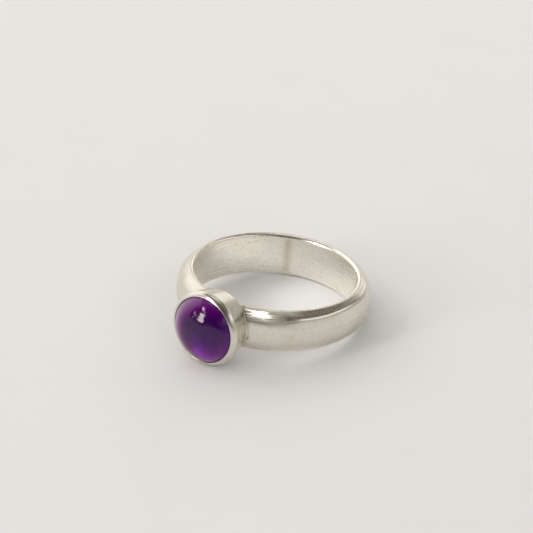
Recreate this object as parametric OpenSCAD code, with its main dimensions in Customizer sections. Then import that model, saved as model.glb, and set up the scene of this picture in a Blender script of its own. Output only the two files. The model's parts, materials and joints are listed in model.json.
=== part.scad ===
// Silver finger ring with a round domed stone in a plain rubbed-over bezel.
// Millimetres, +Z up. The ring lies on its side: the bezel's rim and the back
// of the shank touch the ground at z = 0, and the stone looks along -Y.
// The origin is the middle of the footprint of the whole ring.

/* [Shank] */
// Diameter of the finger hole
finger_d = 17.3; // [15:0.1:21]
// Width of the shank, along the finger
band_w = 4.8; // [4.2:0.1:5.4]
// Thickness of the shank in the middle of its crown
band_t = 1.7; // [1.4:0.05:2]
// Thickness of the shank at its two edges
edge_t = 0.5; // [0.45:0.05:0.7]
// Rounding of the edges that the finger feels
comfort_r = 0.35; // [0.2:0.05:0.4]

/* [Bezel] */
// Outer diameter of the bezel at its rim
rim_d = 8.24; // [7.9:0.02:8.6]
// Diameter of the bezel's closed back
foot_d = 7.02; // [6.8:0.02:7.2]
// Distance from the finger hole out to the bezel's back
foot_lift = 0.68; // [0.4:0.02:0.9]
// Height of the tapered side, from the back to the rim
side_h = 2.6; // [2.4:0.05:3]
// Height of the pressed-over lip above the rim
lip_h = 0.56; // [0.4:0.02:0.7]
// How far the lip's bevel bulges out of a straight slope
lip_bulge = 0.06; // [0.02:0.02:0.1]
// Depth of the stone's seat below the top of the lip
seat_depth = 1.7; // [1.6:0.05:1.8]

/* [Stone] */
// Diameter of the stone at its widest line
stone_d = 7.3; // [7.2:0.02:7.34]
// Height of the stone's tapered side, from its flat back to its widest line
girdle_h = 1.15; // [1.1:0.05:1.2]
// How much the stone's side draws in towards its back
girdle_taper = 0.2; // [0.16:0.02:0.3]
// Height of the dome above the widest line
dome_h = 2.05; // [1.8:0.05:2.4]
// Gap between the stone and the metal all round it
seat_gap = 0.03; // [0.02:0.01:0.04]

/* [Hidden] */

// Faces of a full circle where a preview has to draw one
$fn = 128;
// Steps along the stone's dome and along the lip's bevel
dome_steps = 24;
bevel_steps = 4;
// Small flat that breaks the edge of the stone's back
back_chamfer = 0.12;

// Shank: the crown is one arc through both outer edges
finger_r = finger_d / 2;
half_w = band_w / 2;
crown_rise = band_t - edge_t;
crown_r = (half_w * half_w + crown_rise * crown_rise) / (2 * crown_rise);
crown_c = finger_r + band_t - crown_r;

// Heights along the bezel's axis, measured from the middle of the finger hole
back_z = finger_r + foot_lift;
rim_z = back_z + side_h;
lip_z = rim_z + lip_h;
seat_z = lip_z - seat_depth;
stone_z = seat_z + seat_gap;
widest_z = stone_z + girdle_h;
foot_r = foot_d / 2;
rim_r = rim_d / 2;
stone_r = stone_d / 2;

// Lying on its side, the ring leans until its rim and the back of the shank touch the ground
lean = atan((rim_r - half_w) / (rim_z + finger_r + edge_t));
lift = half_w * cos(lean) + (finger_r + edge_t) * sin(lean);

// How far the leaning ring reaches backwards and forwards, from its own middle
back_reach = crown_c * cos(lean) + crown_r;
front_reach = widest_z * cos(lean)
    + sqrt(pow(dome_h * cos(lean), 2) + pow(stone_r * sin(lean), 2));
shift_y = (front_reach - back_reach) / 2;

// Radius of the stone at a share of its dome's height, 0 at the widest line and 1 at the top
function dome_r(share) = stone_r * sqrt(1 - share * share);
// The dome's rings sit closer together towards its top, where it turns most
function dome_share(step) = sin(90 * step / dome_steps);
// Points of a shallow arc from p to q that bulges by b to the right of that direction
function bulged(p, q, b, steps) = [
    for (i = [0:steps])
        let (t = i / steps, d = q - p, side = [d[1], -d[0]] / norm(d))
            p + d * t + side * 4 * b * t * (1 - t)
];

// Low domed section of the shank, with its inner edges rounded for the finger
module shank_section() {
    intersection() {
        translate([crown_c, 0]) circle(r = crown_r);
        union() {
            translate([finger_r, comfort_r - half_w])
                square([2 * band_t, band_w - 2 * comfort_r]);
            translate([finger_r + comfort_r, -half_w])
                square([2 * band_t, band_w]);
            for (side = [-1, 1])
                translate([finger_r + comfort_r, side * (half_w - comfort_r)])
                    circle(r = comfort_r);
        }
    }
}

// Closed cup with a tapered side and a bevelled lip. Its hollow follows the stone.
module bezel_cup() {
    lip_share = (lip_z - widest_z) / dome_h;
    seat_wall = [
        for (i = [bevel_steps:-1:0])
            let (share = lip_share * i / bevel_steps)
                [dome_r(share) + seat_gap, widest_z + dome_h * share]
    ];
    bevel = bulged([rim_r, rim_z], seat_wall[0], lip_bulge, bevel_steps);
    rotate_extrude()
        polygon(concat(
            [[0, back_z], [foot_r, back_z]],
            bevel,
            [for (i = [1:bevel_steps]) seat_wall[i]],
            [[stone_r - girdle_taper + seat_gap, seat_z], [0, seat_z]]
        ));
}

// The shank and the bezel are soldered into one piece of metal
module band_and_bezel() {
    color("#cfc9b8")
        lie_down()
            union() {
                rotate_extrude() shank_section();
                face_front() bezel_cup();
            }
}

// Round cabochon: flat back, tapered side and a high dome
module stone() {
    color("#5a1488")
        lie_down()
            face_front()
                rotate_extrude()
                    polygon(concat(
                        [
                            [0, stone_z],
                            [stone_r - girdle_taper - back_chamfer, stone_z],
                            [stone_r - girdle_taper + girdle_taper * back_chamfer / girdle_h,
                                stone_z + back_chamfer]
                        ],
                        [for (i = [0:dome_steps])
                            [dome_r(dome_share(i)), widest_z + dome_h * dome_share(i)]]
                    ));
}

// Turns the bezel's axis from +Z to -Y
module face_front() {
    rotate([90, 0, 0]) children();
}

// Leans the ring onto its two points of rest and sets it over the origin
module lie_down() {
    translate([0, shift_y, lift])
        rotate([-lean, 0, 0])
            children();
}

band_and_bezel();
stone();
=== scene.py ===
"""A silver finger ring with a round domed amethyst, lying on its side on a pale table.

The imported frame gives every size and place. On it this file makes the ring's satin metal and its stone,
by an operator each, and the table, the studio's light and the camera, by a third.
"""
import json
from math import atan2, cos, pi, radians, sin, tan

import bpy
import numpy as np
from bpy.props import FloatProperty, FloatVectorProperty, PointerProperty
from mathutils import Matrix, Vector


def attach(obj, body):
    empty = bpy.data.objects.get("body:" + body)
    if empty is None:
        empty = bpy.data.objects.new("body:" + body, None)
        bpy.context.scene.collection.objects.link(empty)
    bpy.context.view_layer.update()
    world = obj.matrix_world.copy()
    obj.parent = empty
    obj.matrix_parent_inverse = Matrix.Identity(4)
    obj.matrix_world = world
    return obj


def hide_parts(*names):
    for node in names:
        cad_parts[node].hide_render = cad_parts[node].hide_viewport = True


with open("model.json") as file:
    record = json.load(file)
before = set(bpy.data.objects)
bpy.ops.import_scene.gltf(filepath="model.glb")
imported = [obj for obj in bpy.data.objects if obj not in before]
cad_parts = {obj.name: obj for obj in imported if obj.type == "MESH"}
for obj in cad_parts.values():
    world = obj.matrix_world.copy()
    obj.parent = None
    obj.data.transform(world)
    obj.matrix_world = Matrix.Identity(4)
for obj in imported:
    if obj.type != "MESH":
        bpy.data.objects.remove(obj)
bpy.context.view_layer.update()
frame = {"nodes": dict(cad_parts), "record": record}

bl_info = {
    "name": "Amethyst ring",
    "version": (1, 0, 0),
    "blender": (4, 5, 0),
    "location": "View3D > Sidebar > Ring",
    "description": "Makes a silver ring with a round domed amethyst in a rubbed-over bezel",
    "category": "Add Mesh",
}

MM = 0.001
# How near two sizes are when they count as the same
TINY = 0.001 * MM
METAL_NODE = "band_and_bezel"
STONE_NODE = "stone"


# The ring's own axes: its middle is the middle of the finger hole, its Z is the hole's axis, and the
# stone looks along its -Y. A height is a distance from the middle towards the stone.
HOLE = frame["record"]["mounts"][0]
CENTRE = np.array(HOLE["pos_m"])
HOLE_AXIS = np.array(HOLE["axis"]) / np.linalg.norm(HOLE["axis"])
SIDEWAYS = np.array([1.0, 0.0, 0.0])
RING_AXES = np.stack([SIDEWAYS, np.cross(HOLE_AXIS, SIDEWAYS), HOLE_AXIS])


def to_frame(points):
    """Points in the ring's own axes, turned and moved into the frame."""
    return points @ RING_AXES + CENTRE


def in_ring_axes(node):
    """The vertices of a CAD node, in the ring's own axes."""
    mesh = frame["nodes"][node].data
    points = np.empty(len(mesh.vertices) * 3, np.float32)
    mesh.vertices.foreach_get("co", points)
    return (points.reshape(-1, 3).astype(float) - CENTRE) @ RING_AXES.T


# The bezel stands out past the shank. What lies further out than this along the finger is all bezel.
CLEAR_OF_SHANK = 0.3 * MM


def measure():
    """The driving sizes, read off the frame's two solids."""
    metal = in_ring_axes(METAL_NODE)
    stone = in_ring_axes(STONE_NODE)
    back = metal[metal[:, 1] > 0]
    back_radius = np.hypot(back[:, 0], back[:, 1])
    half_width = np.abs(back[:, 2]).max()
    at_edge = np.abs(back[:, 2]) > half_width - TINY
    cup = metal[-metal[:, 1] > back_radius.max()]
    cup_radius = np.hypot(cup[:, 0], cup[:, 2])
    overhang = metal[np.abs(metal[:, 2]) > half_width + CLEAR_OF_SHANK]
    foot = overhang[-overhang[:, 1] < (-overhang[:, 1]).min() + TINY]
    stone_radius = np.hypot(stone[:, 0], stone[:, 2])
    return {
        "finger_radius": HOLE["dims"]["r_mm"] * MM,
        "outer_radius": back_radius.max(),
        "half_width": half_width,
        "edge_radius": back_radius[at_edge].max(),
        "rim_radius": cup_radius.max(),
        "rim_height": -cup[cup_radius.argmax(), 1],
        "lip_height": -cup[:, 1].min(),
        "foot_radius": np.hypot(foot[:, 0], foot[:, 2]).max(),
        "foot_height": -foot[0, 1],
        "stone_radius": stone_radius.max(),
        "girdle_height": -stone[stone_radius.argmax(), 1],
        "dome_top": -stone[:, 1].min(),
        "stone_back": -stone[:, 1].max(),
    }


SIZES = measure()


def length(label, about, default, least=0.0):
    """A length property in metres, shown in the scene's unit."""
    return FloatProperty(
        name=label, description=about, default=float(default), min=least, unit="LENGTH", precision=5
    )


def angle_of(label, about, degrees):
    """An angle property, with its default in degrees."""
    return FloatProperty(name=label, description=about, default=radians(degrees), subtype="ANGLE")


def linear(hex_colour):
    """An sRGB hex colour as linear red, green and blue."""
    value = np.array([int(hex_colour[i : i + 2], 16) for i in (1, 3, 5)]) / 255
    return tuple(np.where(value <= 0.04045, value / 12.92, ((value + 0.055) / 1.055) ** 2.4).tolist())


def tint(label, about, hex_colour):
    """A colour property whose default is an sRGB hex colour."""
    return FloatVectorProperty(
        name=label, description=about, subtype="COLOR", size=3, min=0.0, max=1.0, default=linear(hex_colour)
    )


class RingMetalSettings(bpy.types.PropertyGroup):
    """Sizes and colours of the shank and the bezel"""

    finger_radius: length("Finger hole radius", "Radius of the finger hole", SIZES["finger_radius"])
    outer_radius: length("Outer radius", "Radius of the shank's crown at its highest", SIZES["outer_radius"])
    half_width: length("Half width", "Half the shank's width along the finger", SIZES["half_width"])
    edge_radius: length("Edge radius", "Radius at which the crown meets the edge", SIZES["edge_radius"])
    comfort_radius: length("Comfort rounding", "Rounding of the edges that the finger feels", 0.35 * MM)
    worn_radius: length("Worn rounding", "Rounding of the crown's outer edges", 0.1 * MM)
    crown_power: FloatProperty(
        name="Crown power",
        description="2 is a plain domed crown, and more is flatter in the middle and steeper at the edges",
        default=2.8,
        min=2.0,
        max=6.0,
    )
    rim_radius: length("Rim radius", "Radius of the bezel at its rim", SIZES["rim_radius"])
    rim_height: length("Rim height", "Height of the rim", SIZES["rim_height"])
    lip_height: length("Lip height", "Height of the pressed-over lip", SIZES["lip_height"])
    foot_radius: length("Foot radius", "Radius of the bezel's closed back", SIZES["foot_radius"])
    foot_height: length("Foot height", "Height of the bezel's closed back", SIZES["foot_height"])
    seat_depth: length("Seat depth", "Depth of the stone's seat below the stone's back", 0.03 * MM)
    seat_gap: length("Seat gap", "Gap between the stone's side and the metal", 0.03 * MM)
    lip_gap: length("Lip gap", "Gap between the stone and the lip's edge", 0.06 * MM)
    rim_rounding: length("Rim rounding", "Rounding of the rim's outer edge", 0.12 * MM)
    lip_thickness: length("Lip thickness", "Thickness of the lip's edge beside the stone", 0.05 * MM)
    foot_rounding: length("Foot rounding", "Rounding of the edge of the bezel's back", 0.2 * MM)
    lip_bulge: length("Lip bulge", "How far the lip's bevel bulges out of a straight slope", 0.09 * MM)
    solder_radius: length("Solder fillet", "Radius of the solder's hollow fillet", 0.32 * MM)
    silver: tint("Silver", "Colour of the silver outside, under a thin dull film", "#e5e2d9")
    inner_silver: tint("Inner silver", "Colour of the silver that wear keeps clean", "#fbf8ef")
    # The tarnish colour is also painted in the finger hole past its brown stripe, as painted shade
    tarnish_and_shade: tint("Tarnish", "Colour that tarnish leaves on the silver", "#b5a88a")
    crust: tint("Crust", "Colour of the brown crust in the pits of the solder", "#4d4129")


class RingStoneSettings(bpy.types.PropertyGroup):
    """Sizes and colours of the stone"""

    radius: length("Radius", "Radius of the stone at its widest line", SIZES["stone_radius"])
    girdle_height: length("Widest height", "Height of the widest line", SIZES["girdle_height"])
    dome_top: length("Dome top", "Height of the top of the dome", SIZES["dome_top"] - 0.002 * MM)
    back_height: length("Back height", "Height of the stone's flat back", SIZES["stone_back"])
    taper: length("Taper", "How much the side draws in towards the back", 0.2 * MM)
    back_rounding: length("Back rounding", "Rounding of the edge of the flat back", 0.12 * MM)
    body: tint("Amethyst", "Colour that deep quartz keeps of the light", "#d000e2")
    depth: FloatProperty(
        name="Depth of colour",
        description="How fast the quartz takes up light, for each metre of it",
        default=1150.0,
        min=0.0,
    )


class RingStudioSettings(bpy.types.PropertyGroup):
    """The table, the light and the camera"""

    azimuth: angle_of(
        "Camera azimuth", "How far the camera stands to the right of the way the stone looks", 35.742
    )
    elevation: angle_of("Camera elevation", "How far the camera looks down", 30.643)
    roll: angle_of("Camera roll", "How far the camera leans to its left", 2.111)
    distance: length("Camera distance", "Distance from the camera to the middle of the ring", 0.4)
    aim_right: length("Aim right", "How far right of its aim the camera stands", -0.868 * MM, least=-1.0)
    aim_up: length("Aim up", "How far above its aim the camera stands", 2.546 * MM, least=-1.0)
    lens: FloatProperty(name="Lens", description="Focal length in millimetres", default=254.44, min=1.0)
    table: tint("Table", "Colour of the table", "#d7d6d6")
    table_size: length("Table size", "Width of the table", 2.4)


def add(tree, kind, inputs=None, **settings):
    """Adds a shader node. Its inputs go by name or number.

    Each is a value, an output, or a node, which stands for its first output.
    """
    node = tree.nodes.new("ShaderNode" + kind)
    for name, value in settings.items():
        setattr(node, name, value)
    for key, value in (inputs or {}).items():
        if isinstance(value, bpy.types.Node):
            value = next(output for output in value.outputs if output.enabled)
        if isinstance(value, bpy.types.NodeSocket):
            tree.links.new(value, node.inputs[key])
        else:
            node.inputs[key].default_value = value
    return node


def new_material(name):
    """An empty node material, with its output."""
    material = bpy.data.materials.new(name)
    material.use_nodes = True
    material.node_tree.nodes.clear()
    return material, material.node_tree, add(material.node_tree, "OutputMaterial")


# Steps along the arc that rounds a corner of an outline
ARC_STEPS = 8


def rounded_outline(rows):
    """An outline through corners, with straight runs between them and each corner rounded by an arc.

    Each row is a corner's radius and height, the radius that rounds it, and the steps to the next one.
    An arc of radius q touches the runs beside its corner at q times the tangent of half the turn.
    """
    corners = np.array([row[:2] for row in rows], float)
    pieces = [corners[:1]]
    leaves = corners[0]
    for i, (_, _, rounding, _) in enumerate(rows[1:], 1):
        before = rows[i - 1][3]
        corner = corners[i]
        if rounding == 0 or i == len(rows) - 1:
            arc = corner[None]
        else:
            come = (corner - corners[i - 1]) / np.linalg.norm(corner - corners[i - 1])
            go = (corners[i + 1] - corner) / np.linalg.norm(corners[i + 1] - corner)
            turn = np.arctan2(come[0] * go[1] - come[1] * go[0], come @ go)
            side = np.sign(turn) * np.array([-come[1], come[0]])
            start = corner - come * rounding * tan(abs(turn) / 2)
            centre = start + side * rounding
            angle = np.linspace(0, turn, ARC_STEPS + 1)[:, None]
            spoke = start - centre
            across = np.array([-spoke[1], spoke[0]])
            arc = centre + spoke * np.cos(angle) + across * np.sin(angle)
        share = np.linspace(0, 1, before + 1)[1:-1, None]
        pieces.append(leaves + (arc[0] - leaves) * share)
        pieces.append(arc)
        leaves = arc[-1]
    return np.concatenate(pieces)


def outline_normals(outline, closed):
    """Unit normals of an outline, to the right of the way it runs."""
    if closed:
        along = np.roll(outline, -1, 0) - np.roll(outline, 1, 0)
    else:
        along = np.gradient(outline, axis=0)
    right = np.stack([along[:, 1], -along[:, 0]], 1)
    return right / np.linalg.norm(right, axis=1)[:, None]


def grid_faces(around, along, closed, first):
    """Faces of a grid that closes around. Along, it closes too, or ends in two poles after its points."""
    i = np.arange(around)[:, None]
    j = np.arange(along if closed else along - 1)[None]
    right, up = (i + 1) % around, (j + 1) % along
    quads = np.stack([i * along + j, right * along + j, right * along + up, i * along + up], -1)
    faces = (quads.reshape(-1, 4) + first).tolist()
    if not closed:
        ring = np.arange(around)
        after = (ring + 1) % around
        near, far = around * along, around * along + 1
        low = np.stack([np.full(around, near), after * along, ring * along], -1)
        high = np.stack([ring * along + along - 1, after * along + along - 1, np.full(around, far)], -1)
        faces += (low + first).tolist() + (high + first).tolist()
    return faces


def new_piece(name, shells, material):
    """One object of several closed shells, each a dict of a grid of points, closed or not, and attributes.

    The grid's first index runs around and closes. An open grid's ends are drawn in to poles on the axis.
    """
    points, faces, layers = [], [], {}
    count = 0
    for shell in shells:
        grid = shell["points"]
        around, along = grid.shape[:2]
        flat = grid.reshape(-1, 3)
        poles = [] if shell["closed"] else [grid[:, 0].mean(0), grid[:, -1].mean(0)]
        faces += grid_faces(around, along, shell["closed"], count)
        points.append(np.concatenate([flat, *[p[None] for p in poles]]))
        for key, values in shell["layers"].items():
            values = values.reshape(around * along, -1)
            ends = [] if shell["closed"] else [values[:1], values[-1:]]
            layers.setdefault(key, []).append(np.concatenate([values, *ends]))
        count += len(points[-1])
    mesh = bpy.data.meshes.new(name)
    mesh.from_pydata(to_frame(np.concatenate(points)).tolist(), [], faces)
    for key, values in layers.items():
        values = np.concatenate(values)
        wide = values.shape[1] == 3
        layer = mesh.attributes.new(key, "FLOAT_VECTOR" if wide else "FLOAT", "POINT")
        layer.data.foreach_set("vector" if wide else "value", values.astype(np.float32).ravel())
    mesh.shade_smooth()
    mesh.materials.append(material)
    mesh.update()
    piece = bpy.data.objects.new(name, mesh)
    bpy.context.scene.collection.objects.link(piece)
    return piece


def crown_radius(size, height):
    """Radius of the crown at a height on the shank: it falls from the middle by a power of the height."""
    share = np.abs(height) / size.half_width
    return size.outer_radius - (size.outer_radius - size.edge_radius) * share**size.crown_power


def shank_section(size):
    """The shank's closed section, as radius and height, running up the crown and down the finger hole.

    The worn edge is an arc that touches both the crown and the flat edge: its middle lies its own radius
    inside both. The comfort edge is a quarter arc.
    """
    crown_steps, worn_steps, comfort_steps, hole_steps = 40, 6, 7, 8
    dense = np.linspace(0, size.half_width, 4000)
    crown = np.stack([crown_radius(size, dense), dense], 1)
    normal = outline_normals(crown, False)
    middle = crown - normal * size.worn_radius
    last = np.interp(size.half_width - size.worn_radius, middle[:, 1], dense)
    touch = np.array([np.interp(last, dense, middle[:, k]) for k in (0, 1)])
    tilt = np.interp(last, dense, np.arctan2(normal[:, 1], normal[:, 0]))
    height = last * np.sin(np.linspace(0, pi / 2, crown_steps + 1))
    up = np.stack([crown_radius(size, height), height], 1)
    angle = np.linspace(tilt, pi / 2, worn_steps + 1)[1:]
    worn = touch + size.worn_radius * np.stack([np.cos(angle), np.sin(angle)], 1)
    angle = np.linspace(pi / 2, pi, comfort_steps + 1)
    bend = np.array([size.finger_radius, size.half_width]) + size.comfort_radius * np.array([1, -1])
    comfort = bend + size.comfort_radius * np.stack([np.cos(angle), np.sin(angle)], 1)
    height = np.linspace(comfort[-1, 1], 0, hole_steps + 1)[1:]
    hole = np.stack([np.full(hole_steps, size.finger_radius), height], 1)
    half = np.concatenate([up, worn, comfort, hole])
    return np.concatenate([half, half[-2:0:-1] * [1, -1]])


def rise(value, edge, soft):
    """0 to 1 across an edge, within softness: 3 s^2 - 2 s^3 of the share s of the way across."""
    share = ((value - edge + soft) / (2 * soft)).clip(0, 1)
    return share * share * (3 - 2 * share)


def bell(share):
    """A bell curve: e to the power of minus the share squared, 1 in its middle."""
    return np.exp(-(share**2))


# Nearer to the section than this, in metres, a point lies on it
ON_SECTION = 1e-9


def distance_to_section(radius, height, section):
    """Distance from points to the closed section, less than 0 inside, and the way that it grows."""
    start, end = section, np.roll(section, -1, 0)
    run = end - start
    run_length = np.linalg.norm(run, axis=1)
    point = np.stack([radius, height], -1)[..., None, :]
    share = (((point - start) * run).sum(-1) / run_length**2).clip(0, 1)
    gap = point - (start + share[..., None] * run)
    far = np.linalg.norm(gap, axis=-1)
    nearest = far.argmin(-1)[..., None]
    gap = np.take_along_axis(gap, nearest[..., None], -2)[..., 0, :]
    far = np.take_along_axis(far, nearest, -1)[..., 0]
    outward = np.stack([run[:, 1], -run[:, 0]], 1) / run_length[:, None]
    outward = outward[nearest[..., 0]]
    sign = np.where((gap * outward).sum(-1) < 0, -1.0, 1.0)
    apart = np.maximum(far, ON_SECTION)[..., None]
    way = np.where(far[..., None] > ON_SECTION, gap * sign[..., None] / apart, outward)
    return far * sign, way


# Below, a pair of numbers for an edge is its place and its softness. Angles are in degrees round the shank
# from the stone. Heights on the shank, depths and widths are in millimetres.

# Small dents and picks: angle, height, depth, radius, and 1 outside or -1 in the finger hole
DENTS = (
    (-31.5, 1.85, 0.05, 0.16, 1),
    (-33.5, 1.55, 0.03, 0.12, 1),
    (86.5, 0.9, 0.02, 0.2, 1),
    (78.5, 2.27, 0.015, 0.15, 1),
    (-160.6, -1.3, 0.02, 0.12, -1),
)
# How uneven the shank is: its broad waves and its fine ripples. The whole surface lies inside the CAD solid
# by more than they come to.
WAVES, RIPPLES, SUNK = 0.006, 0.004, 0.02
# Beside the bezel the crown is filed flatter: what its power gains there, and how far round
FLATTER, FLATTER_REACH = 1.2, 45.0
# Further round, the upper edge is a long filed flat that meets the crown at a knee: where that begins and
# ends, and above which height it shows
KNEE_FROM, KNEE_TO, KNEE_ABOVE = (32.0, 9.0), (118.0, 15.0), (0.9, 0.6)
# The knee's height, how far the crown has fallen there, and how much thicker the flat leaves the edge
KNEE_HEIGHT, KNEE_DROP, KNEE_EDGE = 1.72, 0.225, 0.1
# How far the knee climbs on its way round, and where
KNEE_CLIMB, CLIMB_AT = 0.16, (75.0, 22.0)
# How soft the knee is, first beside the bezel and then further round, and where that changes
KNEE_SOFT, SHARPER_FROM = (0.13, 0.018), (48.0, 6.0)
# How softly the thicker edge begins under the worn one
EDGE_SOFT = 0.03
# A narrow burnished ridge lies between the crown and the flat: its width up the shank, its steepness, how
# soft its burnish is, and where that ends
RIDGE_WIDTH, RIDGE_SLOPE, RIDGE_SOFT, RIDGE_TO = 0.22, 0.76, 0.06, (94.0, 9.0)
# How far the ridge and the shank's outer edges are burnished, and how wide the edges' burnish is
RIDGE_POLISH, EDGE_POLISH, EDGE_REACH = 0.9, 0.6, 0.1
# The shoulder that the file left bright beside the bezel: where it begins and ends, round the shank and up
# it, and from which thickness of solder
FILED_FROM, FILED_TO = (15.0, 3.0), (37.0, 8.0)
FILED_BOTTOM, FILED_TOP, FILED_SOLDER = (1.52, 0.4), (2.3, 0.06), (0.035, 0.025)
# In the finger hole a brown stripe crosses the shank: its angle, its half width, its stain and where it ends
STRIPE_AT, STRIPE_WIDTH, STRIPE_STAIN, STRIPE_TO = 207.0, 2.8, 1.7, (2.0, 0.3)
# Past the stripe the hole is painted darker, as painted shade: how much, and where that begins and ends
PAINTED_SHADE, PAINTED_SHADE_FROM, PAINTED_SHADE_TO = 0.2, (210.0, 3.0), (300.0, 30.0)
# How far from the bezel tarnish stays on the shank
NEAR_CUP = 0.25
# Pits that the solder left in the seam: angle, height, distance from the middle of the finger hole and
# radius. Then their stain and their depth.
PITS = ((21.4, -0.62, 10.1, 0.23), (20.5, -1.15, 9.9, 0.25), (15.4, 2.33, 9.2, 0.1))
PIT_STAIN, PIT_DEPTH = 5.0, 0.07


def pitted(points):
    """How near points are to the seam's pits: a bell curve of the distance from each pit's middle."""
    total = 0.0
    for degrees, height, radius, wide in PITS:
        middle = np.array([radius * sin(radians(degrees)), -radius * cos(radians(degrees)), height]) * MM
        total = total + bell(np.linalg.norm(points - middle, axis=-1) / (wide * MM))
    return total


def unevenness(angle, height):
    """Waves, two sines multiplied, and ripples, one sine, of the angle and of the height in millimetres."""
    up = height / MM
    waves = np.sin(5 * angle + 0.9 * up + 1.0) * np.sin(11 * angle - 0.7 * up)
    ripples = np.sin(23 * angle + 1.5 * up + 2.0)
    return (WAVES * waves + RIPPLES * ripples - SUNK) * MM


def filed_band(height):
    """1 between the lowest and the highest height that the file left bright."""
    return rise(height / MM, *FILED_BOTTOM) * (1 - rise(height / MM, *FILED_TOP))


def knee_height(turn):
    """Height of the knee: it climbs by a smooth step of the angle."""
    return (KNEE_HEIGHT + KNEE_CLIMB * rise(turn, *CLIMB_AT)) * MM


def knee_gain(size, turn, radius, height, crown):
    """How much further out than the crown the filed flat, its ridge and its knee lie.

    Their surface is the soft minimum of three radii, a parabola for the crown and a slope each for the ridge
    and the flat: minus the softness s times the logarithm of the sum of e^(-r/s) for each radius r.
    """
    knee, thicker, width = knee_height(turn), KNEE_EDGE * MM, RIDGE_WIDTH * MM
    top = size.outer_radius - KNEE_DROP * MM
    body = size.outer_radius - KNEE_DROP * MM * (height / knee) ** 2
    ridge = top - (height - knee) * RIDGE_SLOPE
    fall = top - width * RIDGE_SLOPE - size.edge_radius - thicker
    slope = fall / (size.half_width - knee - width)
    flat = size.edge_radius + thicker + (size.half_width - height) * slope
    soft = (KNEE_SOFT[0] + (KNEE_SOFT[1] - KNEE_SOFT[0]) * rise(turn, *SHARPER_FROM)) * MM
    lowest = -soft * np.logaddexp(np.logaddexp(-body / soft, -ridge / soft), -flat / soft)
    shows = rise(turn, *KNEE_FROM) * (1 - rise(turn, *KNEE_TO)) * rise(height / MM, *KNEE_ABOVE)
    shows = shows * rise(radius, size.edge_radius - size.worn_radius, EDGE_SOFT * MM)
    return np.where(radius > size.edge_radius, lowest - crown, thicker) * shows


def burnished_ridge(turn, height):
    """1 on the ridge, from where the knee grows sharper to where its burnish ends."""
    off_ridge = np.abs((height - knee_height(turn)) / MM - RIDGE_WIDTH / 2)
    along = rise(turn, *SHARPER_FROM) * (1 - rise(turn, *RIDGE_TO))
    return (1 - rise(off_ridge, RIDGE_WIDTH / 2, RIDGE_SOFT)) * along


def shank_shell(size):
    """The shank: its section carried round the finger hole, and pushed along its own normal.

    The push is the unevenness, less what a fuller power takes off the crown beside the bezel, less a bell
    curve for each dent. The knee's gain goes straight outwards.
    """
    around, facing = 420, 0.2
    section = shank_section(size)
    normal = outline_normals(section, True)
    angle = np.linspace(0, 2 * pi, around, endpoint=False)[:, None]
    turn = np.degrees((angle + pi) % (2 * pi) - pi)
    radius, height = section[:, 0][None], section[:, 1][None]
    faces_out, faces_in = normal[None, :, 0] > facing, normal[None, :, 0] < -facing
    share = np.abs(height).clip(0, size.half_width) / size.half_width
    fuller = size.crown_power + FLATTER * bell(turn / FLATTER_REACH)
    drop = size.outer_radius - size.edge_radius
    push = unevenness(angle, height) + drop * (share**size.crown_power - share**fuller) * faces_out
    gain = knee_gain(size, turn, radius, height, size.outer_radius - drop * share**fuller)
    for degrees, dent_height, depth, width, side in DENTS:
        away = (angle - radians(degrees) + pi) % (2 * pi) - pi
        far = np.hypot(away * radius, height - dent_height * MM) / (width * MM)
        push = push - depth * MM * bell(far) * (faces_out if side > 0 else faces_in)
    radius = radius + gain + push * normal[:, 0]
    height = height + push * normal[:, 1]
    points = np.stack([radius * np.sin(angle), -radius * np.cos(angle), height + 0 * angle], -1)
    off_cup = np.hypot(points[..., 0], points[..., 2]) - cup_radius_at(size, -points[..., 1])
    near_cup = bell(off_cup / (NEAR_CUP * MM)) * faces_out * (points[..., 1] < 0)
    edge = bell((np.abs(height) - size.half_width) / (EDGE_REACH * MM)) * ~faces_in
    burnished = burnished_ridge(turn, height) * faces_out
    filed = rise(turn, *FILED_FROM) * (1 - rise(turn, *FILED_TO)) * filed_band(height) * faces_out
    about = np.degrees(angle)
    # Painted shade in the finger hole past its brown stripe
    painted_shade = PAINTED_SHADE * rise(about, *PAINTED_SHADE_FROM) * (1 - rise(about, *PAINTED_SHADE_TO))
    stripe = STRIPE_STAIN * bell((about - STRIPE_AT) / STRIPE_WIDTH)
    stripe = stripe * (1 - rise(np.abs(height) / MM, *STRIPE_TO))
    return {
        "points": points,
        "closed": True,
        "layers": {
            "grain": points / MM,
            "grain_across": np.hypot(points[..., 0], points[..., 1]) / MM,
            "polish": (EDGE_POLISH * edge + RIDGE_POLISH * burnished).clip(0, 1) + 0 * angle,
            # Tarnish by the bezel, in the pits and in the hole's brown stripe, and painted shade past the
            # stripe
            "tarnish_and_shade": near_cup + PIT_STAIN * pitted(points) + (painted_shade + stripe) * faces_in,
            "finger_side": faces_in + 0 * angle,
            "filed": filed,
        },
    }


def cup_radius_at(size, height):
    """Radius of the bezel's tapered side at a height."""
    share = (height - size.foot_height) / (size.rim_height - size.foot_height)
    return size.foot_radius + (size.rim_radius - size.foot_radius) * share


def dome_radius(stone, height):
    """Radius of the stone's dome at a height: an ellipse's."""
    share = (height - stone.girdle_height) / (stone.dome_top - stone.girdle_height)
    return stone.radius * np.sqrt(np.clip(1 - share**2, 0, 1))


# Points this near to the straight line across the bevel lie on it, in millimetres
BEVEL_REACH = 0.15


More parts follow.
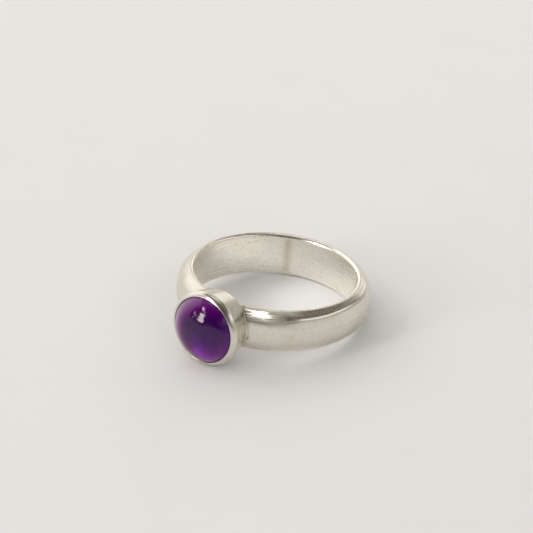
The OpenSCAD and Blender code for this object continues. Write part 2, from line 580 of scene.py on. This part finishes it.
def cup_outline(size, stone):
    """The bezel's outline, from its seat's middle up beside the stone, over the lip and down to its back.

    The lip's bevel bulges by a parabola of the share of the way across it.
    """
    seat = stone.back_height - size.seat_depth
    lip_edge_height = size.lip_height - size.lip_thickness
    lip_edge = float(dome_radius(stone, np.array(lip_edge_height)) + size.lip_gap)
    lip = lip_edge + size.lip_thickness
    middle_height = (stone.girdle_height + lip_edge_height) / 2
    middle = float(dome_radius(stone, np.array(middle_height)) + size.seat_gap)
    rows = (
        (0.0, seat, 0.0, 6),
        (stone.radius - stone.taper + size.seat_gap, seat, 0.0, 6),
        (stone.radius + size.seat_gap, stone.girdle_height, 0.0, 3),
        (middle, middle_height, 0.0, 3),
        (lip_edge, lip_edge_height, size.lip_thickness / 3, 3),
        (lip, size.lip_height, size.lip_thickness / 3, 14),
        (size.rim_radius, size.rim_height, size.rim_rounding, 60),
        (size.foot_radius, size.foot_height, size.foot_rounding, 48),
        (0.0, size.foot_height, 0.0, 0),
    )
    outline = rounded_outline(rows)[1:-1]
    bevel_start = np.array([lip, size.lip_height])
    run = np.array([size.rim_radius, size.rim_height]) - bevel_start
    share = ((outline - bevel_start) @ run / (run @ run)).clip(0, 1)
    beside = np.array([run[1], -run[0]]) / np.linalg.norm(run)
    on_bevel = np.abs((outline - bevel_start) @ beside) < BEVEL_REACH * MM
    bulge = size.lip_bulge * 4 * share * (1 - share) * on_bevel
    return outline - beside * bulge[:, None]


def solder_push(gap, lean, radius):
    """How far the solder's surface stands off the bezel's wall.

    The fillet is round: where a point is u from the wall and v from the shank, (r - u)^2 + (r - v)^2 = r^2.
    Along the wall's normal v grows by lean for each unit of u, so u solves a quadratic.
    """
    left = radius - gap
    reach = radius + lean * left
    inner = np.maximum(reach**2 - (1 + lean**2) * left**2, 0)
    push = (reach - np.sqrt(inner)) / (1 + lean**2)
    push = np.where(gap < -lean * radius, radius, push)
    return np.where(left > 0, push, 0)


# Stain along the solder's seam and where the lip meets the stone, and how wide each is, in millimetres
SEAM_STAIN, SEAM_WIDTH = 1.4, 0.3
LIP_STAIN, LIP_WIDTH = 2.4, 0.06
# How much the solder's fillet swells and shrinks, as a share of its radius, and the waves of the bare side,
# in millimetres
SOLDER_SWELL, SIDE_WAVES = 0.25, 0.004


def cup_shell(size, stone):
    """The bezel: its outline turned round its axis, pushed out where solder fills the corner to the shank.

    The fillet's radius swells by two sines of the angle, multiplied. The bare side has one sine's waves.
    """
    around = 256
    outline = cup_outline(size, stone)
    normal = -outline_normals(outline, False)
    angle = np.linspace(0, 2 * pi, around, endpoint=False)[:, None]
    sine, cosine = np.sin(angle), np.cos(angle)
    radius, height = outline[:, 0][None], outline[:, 1][None]
    points = np.stack([radius * sine, -height + 0 * angle, radius * cosine], -1)
    out = np.stack([normal[:, 0] * sine, -normal[:, 1] + 0 * angle, normal[:, 0] * cosine], -1)
    shank_radius = np.hypot(points[..., 0], points[..., 1])
    gap, way = distance_to_section(shank_radius, points[..., 2], shank_section(size))
    spoke = points[..., :2] / shank_radius[..., None]
    grows = np.concatenate([spoke * way[..., :1], way[..., 1:]], -1)
    lean = (grows * out).sum(-1)
    step = np.arange(len(outline))[None]
    rim = outline[:, 0].argmax()
    below = step > rim
    swell = 1 + SOLDER_SWELL * np.sin(3 * angle + 0.7) * np.sin(5 * angle + 2.0)
    push = solder_push(gap, lean, size.solder_radius * swell) * below
    push = push - SIDE_WAVES * MM * np.sin(7 * angle + 0.9 * height / MM) * below * (push == 0)
    points = points + out * push[..., None]
    points = points - out * (PIT_DEPTH * MM * pitted(points) * below)[..., None]
    seam = SEAM_STAIN * bell(gap / (SEAM_WIDTH * MM)) * below
    lip_edge = dome_radius(stone, height.clip(None, stone.dome_top)) + size.lip_gap
    beside_stone = LIP_STAIN * bell((radius - lip_edge) / (LIP_WIDTH * MM)) * (step < rim - ARC_STEPS)
    filed = rise(push / MM, *FILED_SOLDER) * filed_band(points[..., 2]) * (points[..., 0] > 0)
    return {
        "points": points,
        "closed": False,
        "layers": {
            "grain": points[..., [0, 2, 1]] / MM,
            "grain_across": np.hypot(points[..., 0], points[..., 2]) / MM,
            "polish": (step <= rim + ARC_STEPS // 2) * (height > stone.girdle_height) + 0 * angle,
            "tarnish_and_shade": seam + beside_stone + PIT_STAIN * pitted(points),
            "finger_side": 0 * seam,
            "filed": filed,
        },
    }


# How many brush lines, handling marks and blotches there are to a millimetre, and how many times a line
# changes along one. The lines run round the shank, 0.12 mm apart. Real ones are finer and wouldn't show.
LINES, MARKS, BLOTCHES, ALONG = 8.0, 2.2, 0.5, 0.25
# How deep the lines and the marks are, in millimetres
LINE_DEPTH, MARK_DEPTH = 0.0012, 0.004
# Roughness across the lines, what the marks add to it, and that of worn and of burnished silver
BRUSHED, HANDLED, WORN, BURNISHED = (0.16, 0.36), (-0.03, 0.08), 0.26, 0.24
# How much of the satin the finger has worn away
WEAR = 0.75
# How much a stain of 1 covers, what covers all of the silver, what blotches add, and what wear takes off
COVERS, FILM, BLOTCHED, CLEANED = 0.3, 0.02, (0.04, 0.2), 0.1
# Only the solder's pits are stained this much: where the brown crust begins, where it is full, its cover
CRUST_FROM, CRUST_FULL, CRUST_COVERS = 2.6, 5.0, 0.95
# The file's strokes beside the bezel turn the gloss this way. They run out in ragged streaks, and their
# fading ends are duller.
FILED_WAY, RAGGED, STREAKS, FADING = (0.11, -0.86, 0.50), 1.4, (-0.9, 0.1), 1.1


def satin_silver(size):
    """Sterling silver, brushed to a satin and then worn: soft broad gloss with fine lines along the shank.

    The lip and the edges are burnished bright. Tarnish stays where a cloth doesn't reach, and past its brown
    stripe the finger hole is painted a little darker, as painted shade. A noise's middle values, from about
    0.35 to 0.7, are spread over the range that each part of the finish has.
    """
    material, tree, output = new_material("sterling silver, satin brushed")
    grain = add(tree, "Attribute", attribute_name="grain").outputs["Vector"]
    across, polish, tarnish_and_shade, finger_side, filed = (
        add(tree, "Attribute", attribute_name=name).outputs["Fac"]
        for name in ("grain_across", "polish", "tarnish_and_shade", "finger_side", "filed")
    )
    lines_at = add(tree, "VectorMath", {0: grain, 1: (ALONG, ALONG, LINES)}, operation="MULTIPLY")
    lines_w = add(tree, "Math", {0: across, 1: LINES}, operation="MULTIPLY")
    lines = add(
        tree,
        "TexNoise",
        {"Vector": lines_at, "W": lines_w, "Scale": 1.0, "Detail": 3.0, "Roughness": 0.6},
        noise_dimensions="4D",
    )
    # Handling marks: short soft scratches in every direction, about 0.4 mm long
    marks = add(
        tree,
        "TexNoise",
        {"Vector": grain, "Scale": MARKS, "Detail": 5.0, "Roughness": 0.65, "Distortion": 1.2},
    )
    blotches = add(tree, "TexNoise", {"Vector": grain, "Scale": BLOTCHES, "Detail": 2.0})
    brushed, handled, streaks, blotched = (
        add(
            tree,
            "MapRange",
            {"Value": noise, "From Min": low, "From Max": high, "To Min": spread[0], "To Max": spread[1]},
        )
        for noise, low, high, spread in (
            (lines, 0.35, 0.68, BRUSHED),
            (marks, 0.35, 0.7, HANDLED),
            (lines, 0.35, 0.65, STREAKS),
            (blotches, 0.45, 0.75, BLOTCHED),
        )
    )
    satin = add(tree, "Math", {0: brushed, 1: handled}, operation="ADD")
    worn = add(tree, "Math", {0: finger_side, 1: WEAR}, operation="MULTIPLY")
    rubbed = add(tree, "Mix", {"Factor": worn, "A": satin, "B": WORN}, data_type="FLOAT")
    gloss = add(tree, "Mix", {"Factor": polish, "A": rubbed, "B": BURNISHED}, data_type="FLOAT")
    ragged = add(tree, "Math", {0: filed, 1: RAGGED, 2: streaks}, operation="MULTIPLY_ADD")
    strokes = add(tree, "Math", {0: ragged, 1: filed}, operation="MULTIPLY", use_clamp=True)
    unfiled = add(tree, "Math", {0: 1.0, 1: filed}, operation="SUBTRACT")
    fading = add(tree, "Math", {0: filed, 1: unfiled}, operation="MULTIPLY")
    broader = add(tree, "Math", {0: fading, 1: FADING, 2: gloss}, operation="MULTIPLY_ADD")
    # The stain is tarnish, and past the finger hole's stripe it is also painted shade
    stained_and_shaded = add(tree, "Math", {0: tarnish_and_shade, 1: COVERS, 2: FILM}, operation="MULTIPLY_ADD", use_clamp=True)
    cleaner = add(tree, "Math", {0: finger_side, 1: -CLEANED, 2: blotched}, operation="MULTIPLY_ADD")
    cover = add(tree, "Math", {0: stained_and_shaded, 1: cleaner}, operation="ADD", use_clamp=True)
    crust = add(
        tree,
        "MapRange",
        {"Value": tarnish_and_shade, "From Min": CRUST_FROM, "From Max": CRUST_FULL, "To Max": CRUST_COVERS},
    )
    colour = (*size.silver, 1)
    for factor, next_colour in (
        (finger_side, size.inner_silver),
        (cover, size.tarnish_and_shade),
        (crust, size.crust),
    ):
        colour = add(tree, "Mix", {"Factor": factor, "A": colour, "B": (*next_colour, 1)}, data_type="RGBA")
    # Where the silver is worn or burnished, the lines and the marks are rubbed out.
    calm = add(tree, "Math", {0: finger_side, 1: WEAR, 2: polish}, operation="MULTIPLY_ADD")
    keep = add(tree, "Math", {0: 1.0, 1: calm}, operation="SUBTRACT", use_clamp=True)
    line_bump = add(tree, "Bump", {"Strength": keep, "Distance": LINE_DEPTH * MM, "Height": lines})
    bump = add(
        tree,
        "Bump",
        {"Strength": keep, "Distance": MARK_DEPTH * MM, "Height": marks, "Normal": line_bump},
    )
    turned = add(tree, "Mix", {"Factor": strokes, "A": bump, "B": FILED_WAY}, data_type="VECTOR")
    facing = add(tree, "VectorMath", {0: turned}, operation="NORMALIZE")
    shader = add(
        tree,
        "BsdfPrincipled",
        {"Base Color": colour, "Metallic": 1.0, "Roughness": broader, "Normal": facing},
    )
    tree.links.new(shader.outputs["BSDF"], output.inputs["Surface"])
    return material


# Roughness of the stone's polished dome and of its ground back and side, and the index of quartz
POLISHED, GROUND, QUARTZ_IOR = 0.04, 0.55, 1.545
# Colour of the dome's gloss, and of a thin and a thick veil, partly milky quartz and partly painted glow.
# Below THIN of the light it is thin.
GLOSS, THIN_GLOW_VEIL, THICK_GLOW_VEIL, THIN = "#efdfe2", "#ff00ff", "#ffecfa", 0.05
# Way from the stone's middle to its clearest and darkest side, across and along the finger
CLEAR_WAY = (0.906, 0.423)
# The veil stands partly for milky quartz and partly for painted glow at the stone's edges
# How much of the light the veil takes at most, the power by which it grows away from the clearest side, and
# what it takes of the light everywhere
GLOW_VEIL_MOST, GLOW_VEIL_GROWS, GLOW_VEIL_TRACE = 0.23, 0.7, 0.004
# The veil's edge, as a share of the stone's radius, how much nearer the middle it is on the milky side, and
# how soft it is
GLOW_VEIL_FROM, GLOW_VEIL_NEARER, GLOW_VEIL_SOFT = 0.87, 0.25, 0.28


def polished_amethyst(stone):
    """Amethyst, a purple quartz, cut as a cabochon and polished: wet gloss over deep clear colour.

    The colour comes from the depth of quartz that light crosses, so thin edges glow and the middle is dark.
    A veil of milky quartz and painted glow lays pale colour on the edges, least on the clear, dark side.
    """
    material, tree, output = new_material("amethyst quartz, polished")
    ground, veil_and_glow = (
        add(tree, "Attribute", attribute_name=name).outputs["Fac"] for name in ("ground", "veil_and_glow")
    )
    gloss = add(tree, "MapRange", {"Value": ground, "To Min": POLISHED, "To Max": GROUND})
    # Where the veil is, pale diffuse colour in place of clear quartz is partly painted glow
    milky_glow = add(tree, "MapRange", {"Value": veil_and_glow, "From Min": THIN, "From Max": GLOW_VEIL_MOST})
    veil_and_glow_colour = add(
        tree,
        "Mix",
        {"Factor": milky_glow, "A": (*linear(THIN_GLOW_VEIL), 1), "B": (*linear(THICK_GLOW_VEIL), 1)},
        data_type="RGBA",
    )
    clear = add(tree, "Math", {0: 1.0, 1: veil_and_glow}, operation="SUBTRACT")
    shader = add(
        tree,
        "BsdfPrincipled",
        {
            "Base Color": veil_and_glow_colour,
            "Roughness": gloss,
            "IOR": QUARTZ_IOR,
            "Transmission Weight": clear,
            "Specular Tint": (*linear(GLOSS), 1),
        },
    )
    inside = add(tree, "VolumeAbsorption", {"Color": (*stone.body, 1), "Density": stone.depth})
    tree.links.new(shader.outputs["BSDF"], output.inputs["Surface"])
    tree.links.new(inside.outputs["Volume"], output.inputs["Volume"])
    return material


def stone_shell(stone):
    """The cabochon: flat back, tapered side and a dome that is half an ellipse, turned round its axis.

    The veil, partly milky quartz and partly painted glow, is a smooth step of the share of the radius, times
    a power of half the way across the stone.
    """
    around, dome_steps = 192, 64
    share = np.sin(np.linspace(0, pi / 2, dome_steps + 1))[:-1]
    height = stone.girdle_height + (stone.dome_top - stone.girdle_height) * share
    dome = np.stack([dome_radius(stone, height), height], 1)
    rows = (
        (0.0, stone.back_height, 0.0, 12),
        (stone.radius - stone.taper, stone.back_height, stone.back_rounding, 8),
        (stone.radius, stone.girdle_height, 0.0, 0),
    )
    outline = np.concatenate([rounded_outline(rows)[1:-1], dome])[::-1]
    angle = np.linspace(0, 2 * pi, around, endpoint=False)[:, None]
    radius, height = outline[:, 0][None], outline[:, 1][None]
    points = np.stack([radius * np.sin(angle), -height + 0 * angle, radius * np.cos(angle)], -1)
    ground = (height < stone.girdle_height) + 0.0 * angle
    share = radius / stone.radius
    # The veil and its painted glow grow away from the clear, dark side and towards the rim
    away = ((1 - np.sin(angle) * CLEAR_WAY[0] - np.cos(angle) * CLEAR_WAY[1]) / 2) ** GLOW_VEIL_GROWS
    veil_and_glow = GLOW_VEIL_MOST * away * rise(share, GLOW_VEIL_FROM - GLOW_VEIL_NEARER * away, GLOW_VEIL_SOFT)
    veil_and_glow = (veil_and_glow + GLOW_VEIL_TRACE) * (height >= stone.girdle_height)
    return {"points": points, "closed": False, "layers": {"ground": ground, "veil_and_glow": veil_and_glow}}


# What the metal mirrors: reflectors and cards, as patches of light with soft edges. Each has its azimuths,
# counted from the way the stone looks, its elevations and softness, all in degrees, and its brightness.
REFLECTORS = (
    ("left reflector, low", -146, -65, -20, 14, 3, 0.82),
    ("left reflector, high", -146, -65, 14, 51, 3, 1.08),
    ("gap beside the left reflector", -153, -146, -20, 50, 2, 0.35),
    ("back reflector, left", -174, -153, -20, 40, 2, 0.98),
    ("grey card, left", -65, -50, -12, 51, 3, 0.7),
    ("grey card, front left", -47, -10, -20, 1, 2, 0.3),
    ("low card, front", -10, 22, -20, 7, 3, 0.62),
    ("low card, front right", 22, 62, -20, 7, 3, 0.4),
    ("grey card, front right", 33, 62, 15, 32, 3, 0.3),
    ("right reflector, low", 62, 160, -20, 25, 3, 0.3),
    ("right reflector, high", 66, 158, 25, 43, 2, 1.08),
    ("back reflector, low", 160, 188, -20, -11, 3, 0.45),
    ("back reflector", 160, 188, -11, 28, 3, 0.3),
)
# A round soft reflector overhead: azimuth, elevation, radius, softness and brightness
OVERHEAD = (-130, 80, 14, 8, 0.8)
# Brightness and colour of the dark studio between them, and brightness of the backdrop that the camera sees
DARK, DARK_COLOUR, BACKDROP = 0.16, "#fff3dd", 0.9
# A black flag before the stone: its azimuths and elevations, softness, and what it leaves of the dark light
BLACK_FLAG = (-8, 58, 8, 58, 8, 0.3)

# Lamps that the metal mirrors: azimuth, elevation, width, height and turn in degrees, and brightness
LAMPS = (
    ("main lamp", -20.5, 15, 12, 22, 0, 12.0),
    ("upper lamp", -28, 41, 7, 17, 38, 9.0),
    ("main lamp, corner", -17.5, 30, 5, 6, 0, 4.0),
    ("side lamp", -39, 15, 5, 9, 0, 4.5),
    ("side lamp, middle", -33, 11, 4, 5, 0, 3.0),
    ("side lamp, foot", -29.5, 6, 5, 4, 0, 4.0),
    ("side lamp, corner", -40, 5, 4, 3, 0, 3.5),
)
LAMP_DISTANCE = 2.0
# Soft boxes that light only matt surfaces: azimuth, elevation, angular size, light and distance
SOFT_BOXES = (
    ("soft box, left", -64, 50, 50, 0.74, 0.4),
    ("soft box, back", -165, 35, 50, 0.36, 0.22),
    ("soft box, front", 45, 45, 70, 1.18, 1.0),
)
# A spot that stands for the light that the polished finger hole throws on the table: where it falls, across
# and back from the origin, its radius and the lamp's own, in millimetres; its azimuth, elevation and light
CATCH_LIGHT = (1.2, 7.6, 5.5, 1.5, -24, 52, 0.34)
CATCH_DISTANCE = 0.1
# Colour of the reflectors and lamps, of the soft boxes, and of the spot
LAMP_COLOUR, BOX_COLOUR, CATCH_COLOUR = "#fffdfa", "#fffefc", "#fffefa"


def direction(azimuth, elevation):
    """Unit vector at an azimuth from the way the stone looks and an elevation, both in radians."""
    return Vector((sin(azimuth) * cos(elevation), -cos(azimuth) * cos(elevation), sin(elevation)))


def soft_patch(tree, light, edges, label):
    """Light times a smooth step for each edge: a value, the edge's place and softness, and if it rises."""
    for value, edge, soft, rises in edges:
        start, end = (0.0, 1.0) if rises else (1.0, 0.0)
        ramp = {"From Min": edge - soft, "From Max": edge + soft, "To Min": start, "To Max": end}
        step = add(tree, "MapRange", {"Value": value, **ramp}, interpolation_type="SMOOTHSTEP")
        light = add(tree, "Math", {0: light, 1: step}, operation="MULTIPLY", label=label)
    return light


def make_surroundings(settings):
    """The dark studio and its reflectors, which the metal mirrors. The camera sees a pale backdrop."""
    world = bpy.data.worlds.new("studio")
    world.use_nodes = True
    tree = world.node_tree
    tree.nodes.clear()
    place = add(tree, "TexCoord").outputs["Generated"]
    way = add(tree, "SeparateXYZ", {0: place}).outputs
    before = add(tree, "Math", {0: way["Y"], 1: -1.0}, operation="MULTIPLY")
    turn = add(tree, "Math", {0: way["X"], 1: before}, operation="ARCTAN2")
    azimuth = add(tree, "Math", {0: turn}, operation="DEGREES")
    tilt = add(tree, "Math", {0: way["Z"]}, operation="ARCSINE")
    elevation = add(tree, "Math", {0: tilt}, operation="DEGREES")
    total = 0.0
    for name, left, right, low, high, soft, level in REFLECTORS:
        off = add(tree, "Math", {0: azimuth, 1: (left + right) / 2}, operation="SUBTRACT")
        off = add(tree, "Math", {0: off, 1: 180.0, 2: -180.0}, operation="WRAP")
        off = add(tree, "Math", {0: off}, operation="ABSOLUTE")
        edges = (
            (off, (right - left) / 2, soft, False),
            (elevation, low, soft / 2, True),
            (elevation, high, soft / 2, False),
        )
        patch = soft_patch(tree, level, edges, name)
        total = add(tree, "Math", {0: total, 1: patch}, operation="ADD")
    over_azimuth, over_elevation, radius, soft, level = OVERHEAD
    over_way = direction(radians(over_azimuth), radians(over_elevation))
    near = add(tree, "VectorMath", {0: place, 1: over_way}, operation="DOT_PRODUCT")
    outer, inner = cos(radians(radius + soft)), cos(radians(radius - soft))
    over = add(
        tree,
        "MapRange",
        {"Value": near, "From Min": outer, "From Max": inner, "To Max": level},
        interpolation_type="SMOOTHSTEP",
    )
    total = add(tree, "Math", {0: total, 1: over}, operation="ADD")
    left, right, low, high, soft, leaves = BLACK_FLAG
    edges = (
        (azimuth, left, soft, True),
        (azimuth, right, soft, False),
        (elevation, low, soft, True),
        (elevation, high, soft, False),
    )
    flag = soft_patch(tree, 1.0, edges, "black flag")
    dim = add(tree, "Math", {0: flag, 1: (leaves - 1) * DARK, 2: DARK}, operation="MULTIPLY_ADD")
    lit = add(tree, "Background", {"Color": (*linear(LAMP_COLOUR), 1), "Strength": total})
    dark = add(tree, "Background", {"Color": (*linear(DARK_COLOUR), 1), "Strength": dim})
    mirrored = add(tree, "AddShader", {0: lit, 1: dark})
    backdrop = add(tree, "Background", {"Color": (*settings.table, 1), "Strength": BACKDROP})
    camera_ray = add(tree, "LightPath").outputs["Is Camera Ray"]
    shown = add(tree, "MixShader", {0: camera_ray, 1: mirrored, 2: backdrop})
    add(tree, "OutputWorld", {"Surface": shown})
    bpy.context.scene.world = world


def hang(name, lamp, way, far, target, turn=0.0, mirrored=False):
    """Hangs a lamp far out from its target, aimed back at it and turned about the way by some degrees.

    Metal and stone show only a mirrored one.
    """
    hung = bpy.data.objects.new(name, lamp)
    hung.location = target + way * far
    turned = Matrix.Rotation(radians(turn), 3, "Z").to_quaternion()
    hung.rotation_euler = (way.to_track_quat("Z", "Y") @ turned).to_euler()
    hung.visible_camera = False
    hung.visible_glossy = mirrored
    hung.visible_transmission = mirrored
    bpy.context.scene.collection.objects.link(hung)


def make_lamps():
    """Rectangular lamps that light the ring, aimed at its middle."""
    for name, azimuth, elevation, width, height, turn, level in LAMPS:
        lamp = bpy.data.lights.new(name, "AREA")
        lamp.shape = "RECTANGLE"
        lamp.size = 2 * LAMP_DISTANCE * tan(radians(width / 2))
        lamp.size_y = 2 * LAMP_DISTANCE * tan(radians(height / 2))
        lamp.energy = level * pi * lamp.size * lamp.size_y
        lamp.color = linear(LAMP_COLOUR)
        way = direction(radians(azimuth), radians(elevation))
        hang(name, lamp, way, LAMP_DISTANCE, Vector(CENTRE), turn, mirrored=True)


def make_soft_boxes():
    """Square soft boxes for the table. The metal and the stone don't mirror them."""
    for name, azimuth, elevation, wide, light, far in SOFT_BOXES:
        lamp = bpy.data.lights.new(name, "AREA")
        lamp.shape = "SQUARE"
        lamp.size = 2 * far * tan(radians(wide / 2))
        lamp.energy = light * pi * far**2 / sin(radians(elevation))
        lamp.color = linear(BOX_COLOUR)
        hang(name, lamp, direction(radians(azimuth), radians(elevation)), far, Vector(CENTRE))


def make_catch_light():
    """A soft spot inside the ring that lights only the table."""
    across, back, radius, lamp_radius, azimuth, elevation, light = CATCH_LIGHT
    lamp = bpy.data.lights.new("catch light", "SPOT")
    lamp.spot_size = 2 * atan2(radius * MM, CATCH_DISTANCE)
    lamp.spot_blend = 1.0
    lamp.shadow_soft_size = lamp_radius * MM
    lamp.energy = light * 4 * pi**2 * CATCH_DISTANCE**2 / sin(radians(elevation))
    lamp.color = linear(CATCH_COLOUR)
    way = direction(radians(azimuth), radians(elevation))
    hang("catch light", lamp, way, CATCH_DISTANCE, Vector((across, back, 0)) * MM)


# The table's paint is faintly mottled, about 8 mm across: its patches to a metre, and the darkest one's tone
MOTTLES, MOTTLE_TONE = 120.0, 0.985


def make_table(settings):
    """The table under the ring: painted board, whose matt paint gives soft shadows and no gloss."""
    material, tree, output = new_material("painted board, matt")
    place = add(tree, "TexCoord").outputs["Object"]
    mottle = add(tree, "TexNoise", {"Vector": place, "Scale": MOTTLES, "Detail": 3.0})
    tone = add(
        tree,
        "MapRange",
        {"Value": mottle, "From Min": 0.3, "From Max": 0.7, "To Min": MOTTLE_TONE, "To Max": 1.0},
    )
    colour = add(
        tree,
        "Mix",
        {"Factor": 1.0, "A": (*settings.table, 1), "B": tone},
        data_type="RGBA",
        blend_type="MULTIPLY",
    )
    shader = add(tree, "BsdfPrincipled", {"Base Color": colour, "Roughness": 0.8, "Specular IOR Level": 0.2})
    tree.links.new(shader.outputs["BSDF"], output.inputs["Surface"])
    half = settings.table_size / 2
    corners = [(-half, -half, 0), (half, -half, 0), (half, half, 0), (-half, half, 0)]
    mesh = bpy.data.meshes.new("table")
    mesh.from_pydata(corners, [], [(0, 1, 2, 3)])
    mesh.materials.append(material)
    table = bpy.data.objects.new("table", mesh)
    bpy.context.scene.collection.objects.link(table)


def make_camera(settings):
    """A camera that looks at the ring's middle from an azimuth and elevation, rolled a little."""
    back = direction(settings.azimuth, settings.elevation)
    right = Vector((cos(settings.azimuth), sin(settings.azimuth), 0))
    up = back.cross(right)
    camera = bpy.data.cameras.new("camera")
    camera.lens = settings.lens
    camera.clip_start = 0.01
    camera.clip_end = 10
    camera_object = bpy.data.objects.new("camera", camera)
    side = right * cos(settings.roll) + up * sin(settings.roll)
    top = up * cos(settings.roll) - right * sin(settings.roll)
    place = Vector(CENTRE) + back * settings.distance + right * settings.aim_right + up * settings.aim_up
    turn = Matrix((side, top, back)).transposed()
    camera_object.matrix_world = Matrix.Translation(place) @ turn.to_4x4()
    bpy.context.scene.collection.objects.link(camera_object)
    bpy.context.scene.camera = camera_object


class RING_OT_metal(bpy.types.Operator):
    """Make the shank and the bezel, soldered into one piece of silver"""

    bl_idname = "ring.metal"
    bl_label = "Shank and bezel"

    def execute(self, context):
        size, stone = context.scene.ring_metal, context.scene.ring_stone
        shells = [shank_shell(size), cup_shell(size, stone)]
        piece = new_piece("shank_and_bezel", shells, satin_silver(size))
        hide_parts(METAL_NODE)
        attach(piece, "root")
        return {"FINISHED"}


class RING_OT_stone(bpy.types.Operator):
    """Make the domed stone"""

    bl_idname = "ring.stone"
    bl_label = "Amethyst cabochon"

    def execute(self, context):
        stone = context.scene.ring_stone
        piece = new_piece("amethyst_cabochon", [stone_shell(stone)], polished_amethyst(stone))
        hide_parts(STONE_NODE)
        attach(piece, "root")
        return {"FINISHED"}


class RING_OT_stage(bpy.types.Operator):
    """Set the table, the light and the camera"""

    bl_idname = "ring.stage"
    bl_label = "Table, light and camera"

    def execute(self, context):
        settings = context.scene.ring_studio
        make_table(settings)
        make_surroundings(settings)
        make_lamps()
        make_soft_boxes()
        make_catch_light()
        make_camera(settings)
        context.scene.view_settings.view_transform = "Standard"
        context.scene.cycles.use_denoising = True
        return {"FINISHED"}


class RING_PT_panel(bpy.types.Panel):
    """Sidebar panel of the ring's sizes, colours and operators"""

    bl_label = "Ring"
    bl_space_type = "VIEW_3D"
    bl_region_type = "UI"
    bl_category = "Ring"

    def draw(self, context):
        scene = context.scene
        for group, operator in (
            (scene.ring_metal, RING_OT_metal),
            (scene.ring_stone, RING_OT_stone),
            (scene.ring_studio, RING_OT_stage),
        ):
            box = self.layout.box()
            for name in group.__annotations__:
                box.prop(group, name)
            box.operator(operator.bl_idname)


CLASSES = (
    RingMetalSettings,
    RingStoneSettings,
    RingStudioSettings,
    RING_OT_metal,
    RING_OT_stone,
    RING_OT_stage,
    RING_PT_panel,
)


def register():
    """Adds the classes and the scene's settings."""
    for cls in CLASSES:
        bpy.utils.register_class(cls)
    bpy.types.Scene.ring_metal = PointerProperty(type=RingMetalSettings)
    bpy.types.Scene.ring_stone = PointerProperty(type=RingStoneSettings)
    bpy.types.Scene.ring_studio = PointerProperty(type=RingStudioSettings)


def unregister():
    """Takes them away again."""
    del bpy.types.Scene.ring_studio
    del bpy.types.Scene.ring_stone
    del bpy.types.Scene.ring_metal
    for cls in reversed(CLASSES):
        bpy.utils.unregister_class(cls)


def main():
    """Makes the whole ring."""
    register()
    bpy.ops.ring.stage()
    bpy.ops.ring.metal()
    bpy.ops.ring.stone()


if __name__ == "__main__":
    main()
